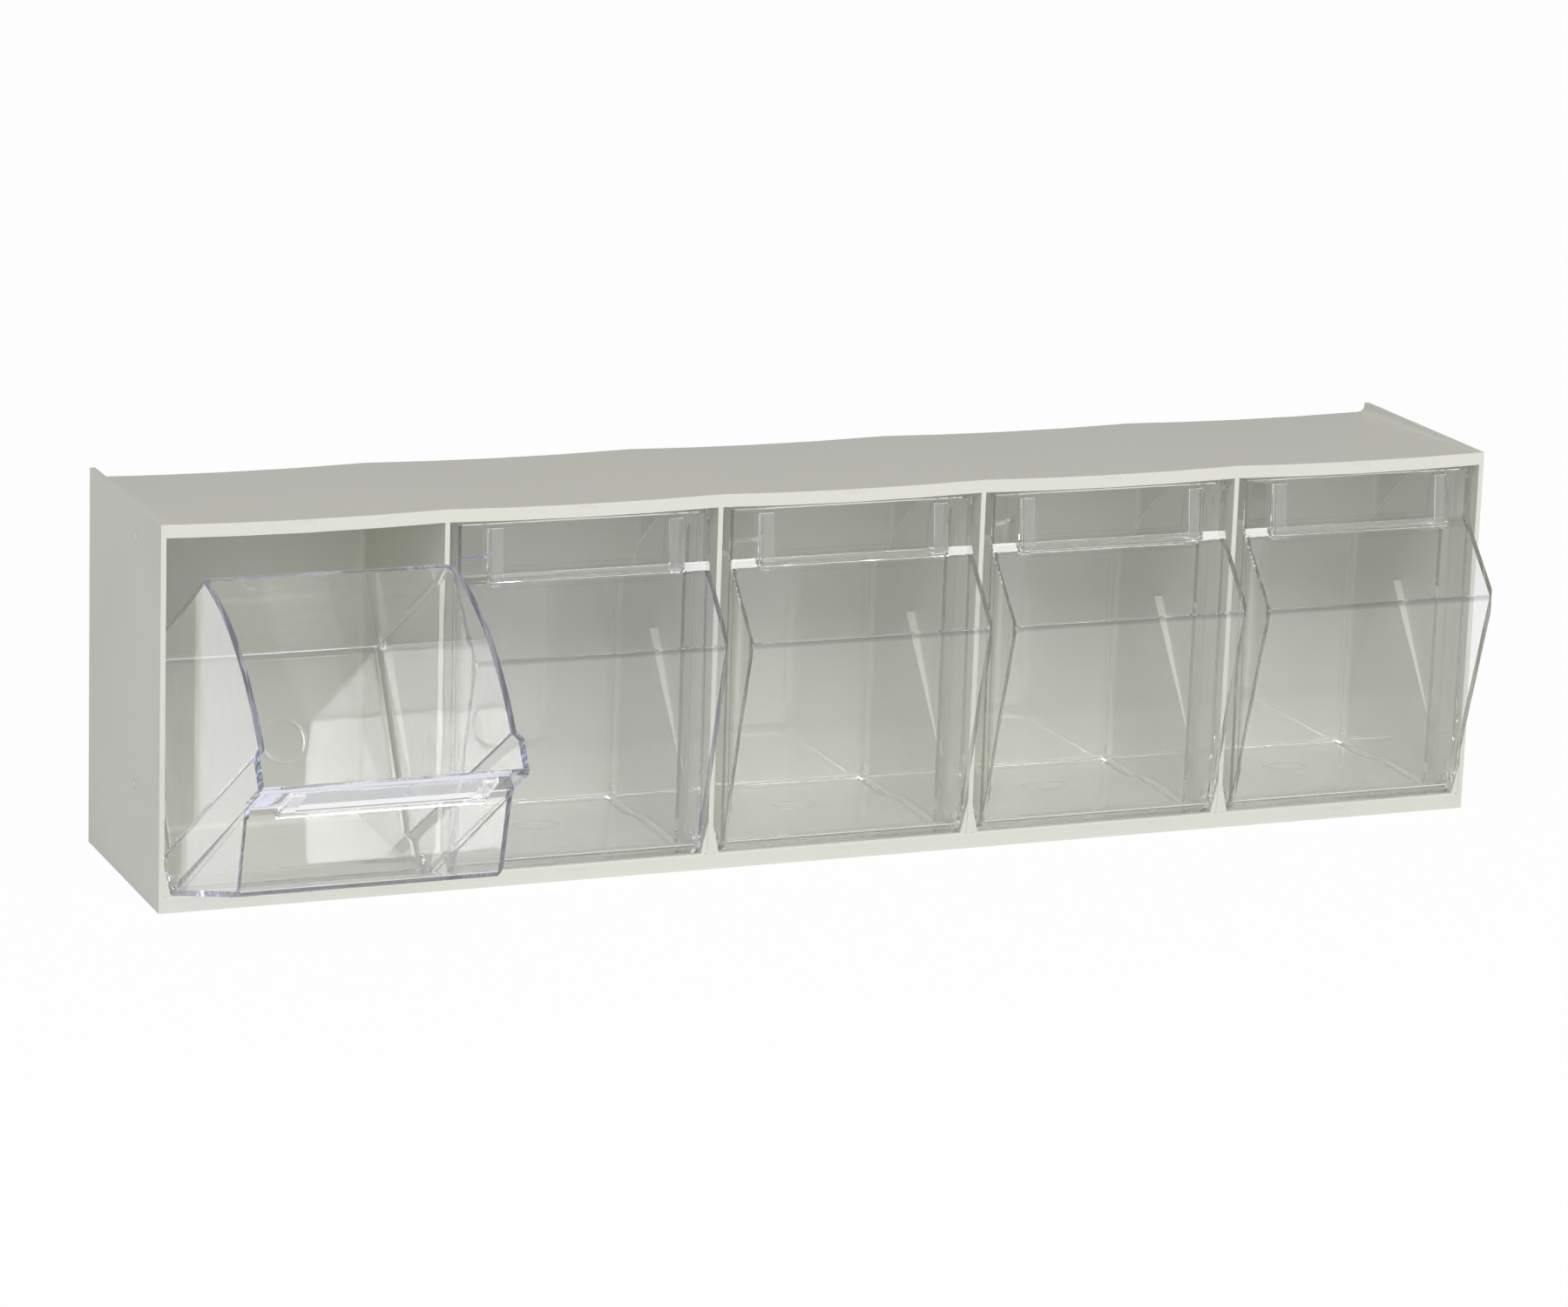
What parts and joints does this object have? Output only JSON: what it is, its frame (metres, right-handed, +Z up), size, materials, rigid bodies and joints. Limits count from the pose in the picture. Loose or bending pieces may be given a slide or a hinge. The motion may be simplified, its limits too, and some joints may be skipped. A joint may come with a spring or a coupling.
{
  "type": "tilt out bin unit",
  "caption": "Wide moulded housing with a row of clear tilt out bins, each hinged at its lower front and carrying a label pocket, one of them standing open.",
  "frame": {"origin": "on the underside of the housing, at the middle of its width and depth", "axes": "+X to the right along the row of bins, +Y to the rear, +Z up; the bins tilt out towards -Y"},
  "size_m": [0.601, 0.2269, 0.1622],
  "materials": {
    "housing_plastic": "satin moulded, off-white",
    "clear_plastic": "clear, polished mould finish with a faint cool tint at its edges"
  },
  "bodies": {
    "cabinet": {"housing": "housing_plastic"},
    "bin_body_1": {"bin_1": "clear_plastic"},
    "bin_body_2": {"bin_2": "clear_plastic"},
    "bin_body_3": {"bin_3": "clear_plastic"},
    "bin_body_4": {"bin_4": "clear_plastic"},
    "bin_body_5": {"bin_5": "clear_plastic"}
  },
  "joints": [
    {"name": "bin_1_tilt", "type": "hinge", "parent": "cabinet", "child": "bin_body_1", "pos_m": [-0.23908, -0.04925, 0.0135], "axis": [1, 0, 0], "range_deg": [-58.7, 0]},
    {"name": "bin_2_tilt", "type": "hinge", "parent": "cabinet", "child": "bin_body_2", "pos_m": [-0.11954, -0.04925, 0.0135], "axis": [1, 0, 0], "range_deg": [0, 58.7]},
    {"name": "bin_3_tilt", "type": "hinge", "parent": "cabinet", "child": "bin_body_3", "pos_m": [0, -0.04925, 0.0135], "axis": [1, 0, 0], "range_deg": [0, 58.7]},
    {"name": "bin_4_tilt", "type": "hinge", "parent": "cabinet", "child": "bin_body_4", "pos_m": [0.11954, -0.04925, 0.0135], "axis": [1, 0, 0], "range_deg": [0, 58.7]},
    {"name": "bin_5_tilt", "type": "hinge", "parent": "cabinet", "child": "bin_body_5", "pos_m": [0.23908, -0.04925, 0.0135], "axis": [1, 0, 0], "range_deg": [0, 58.7]}
  ]
}
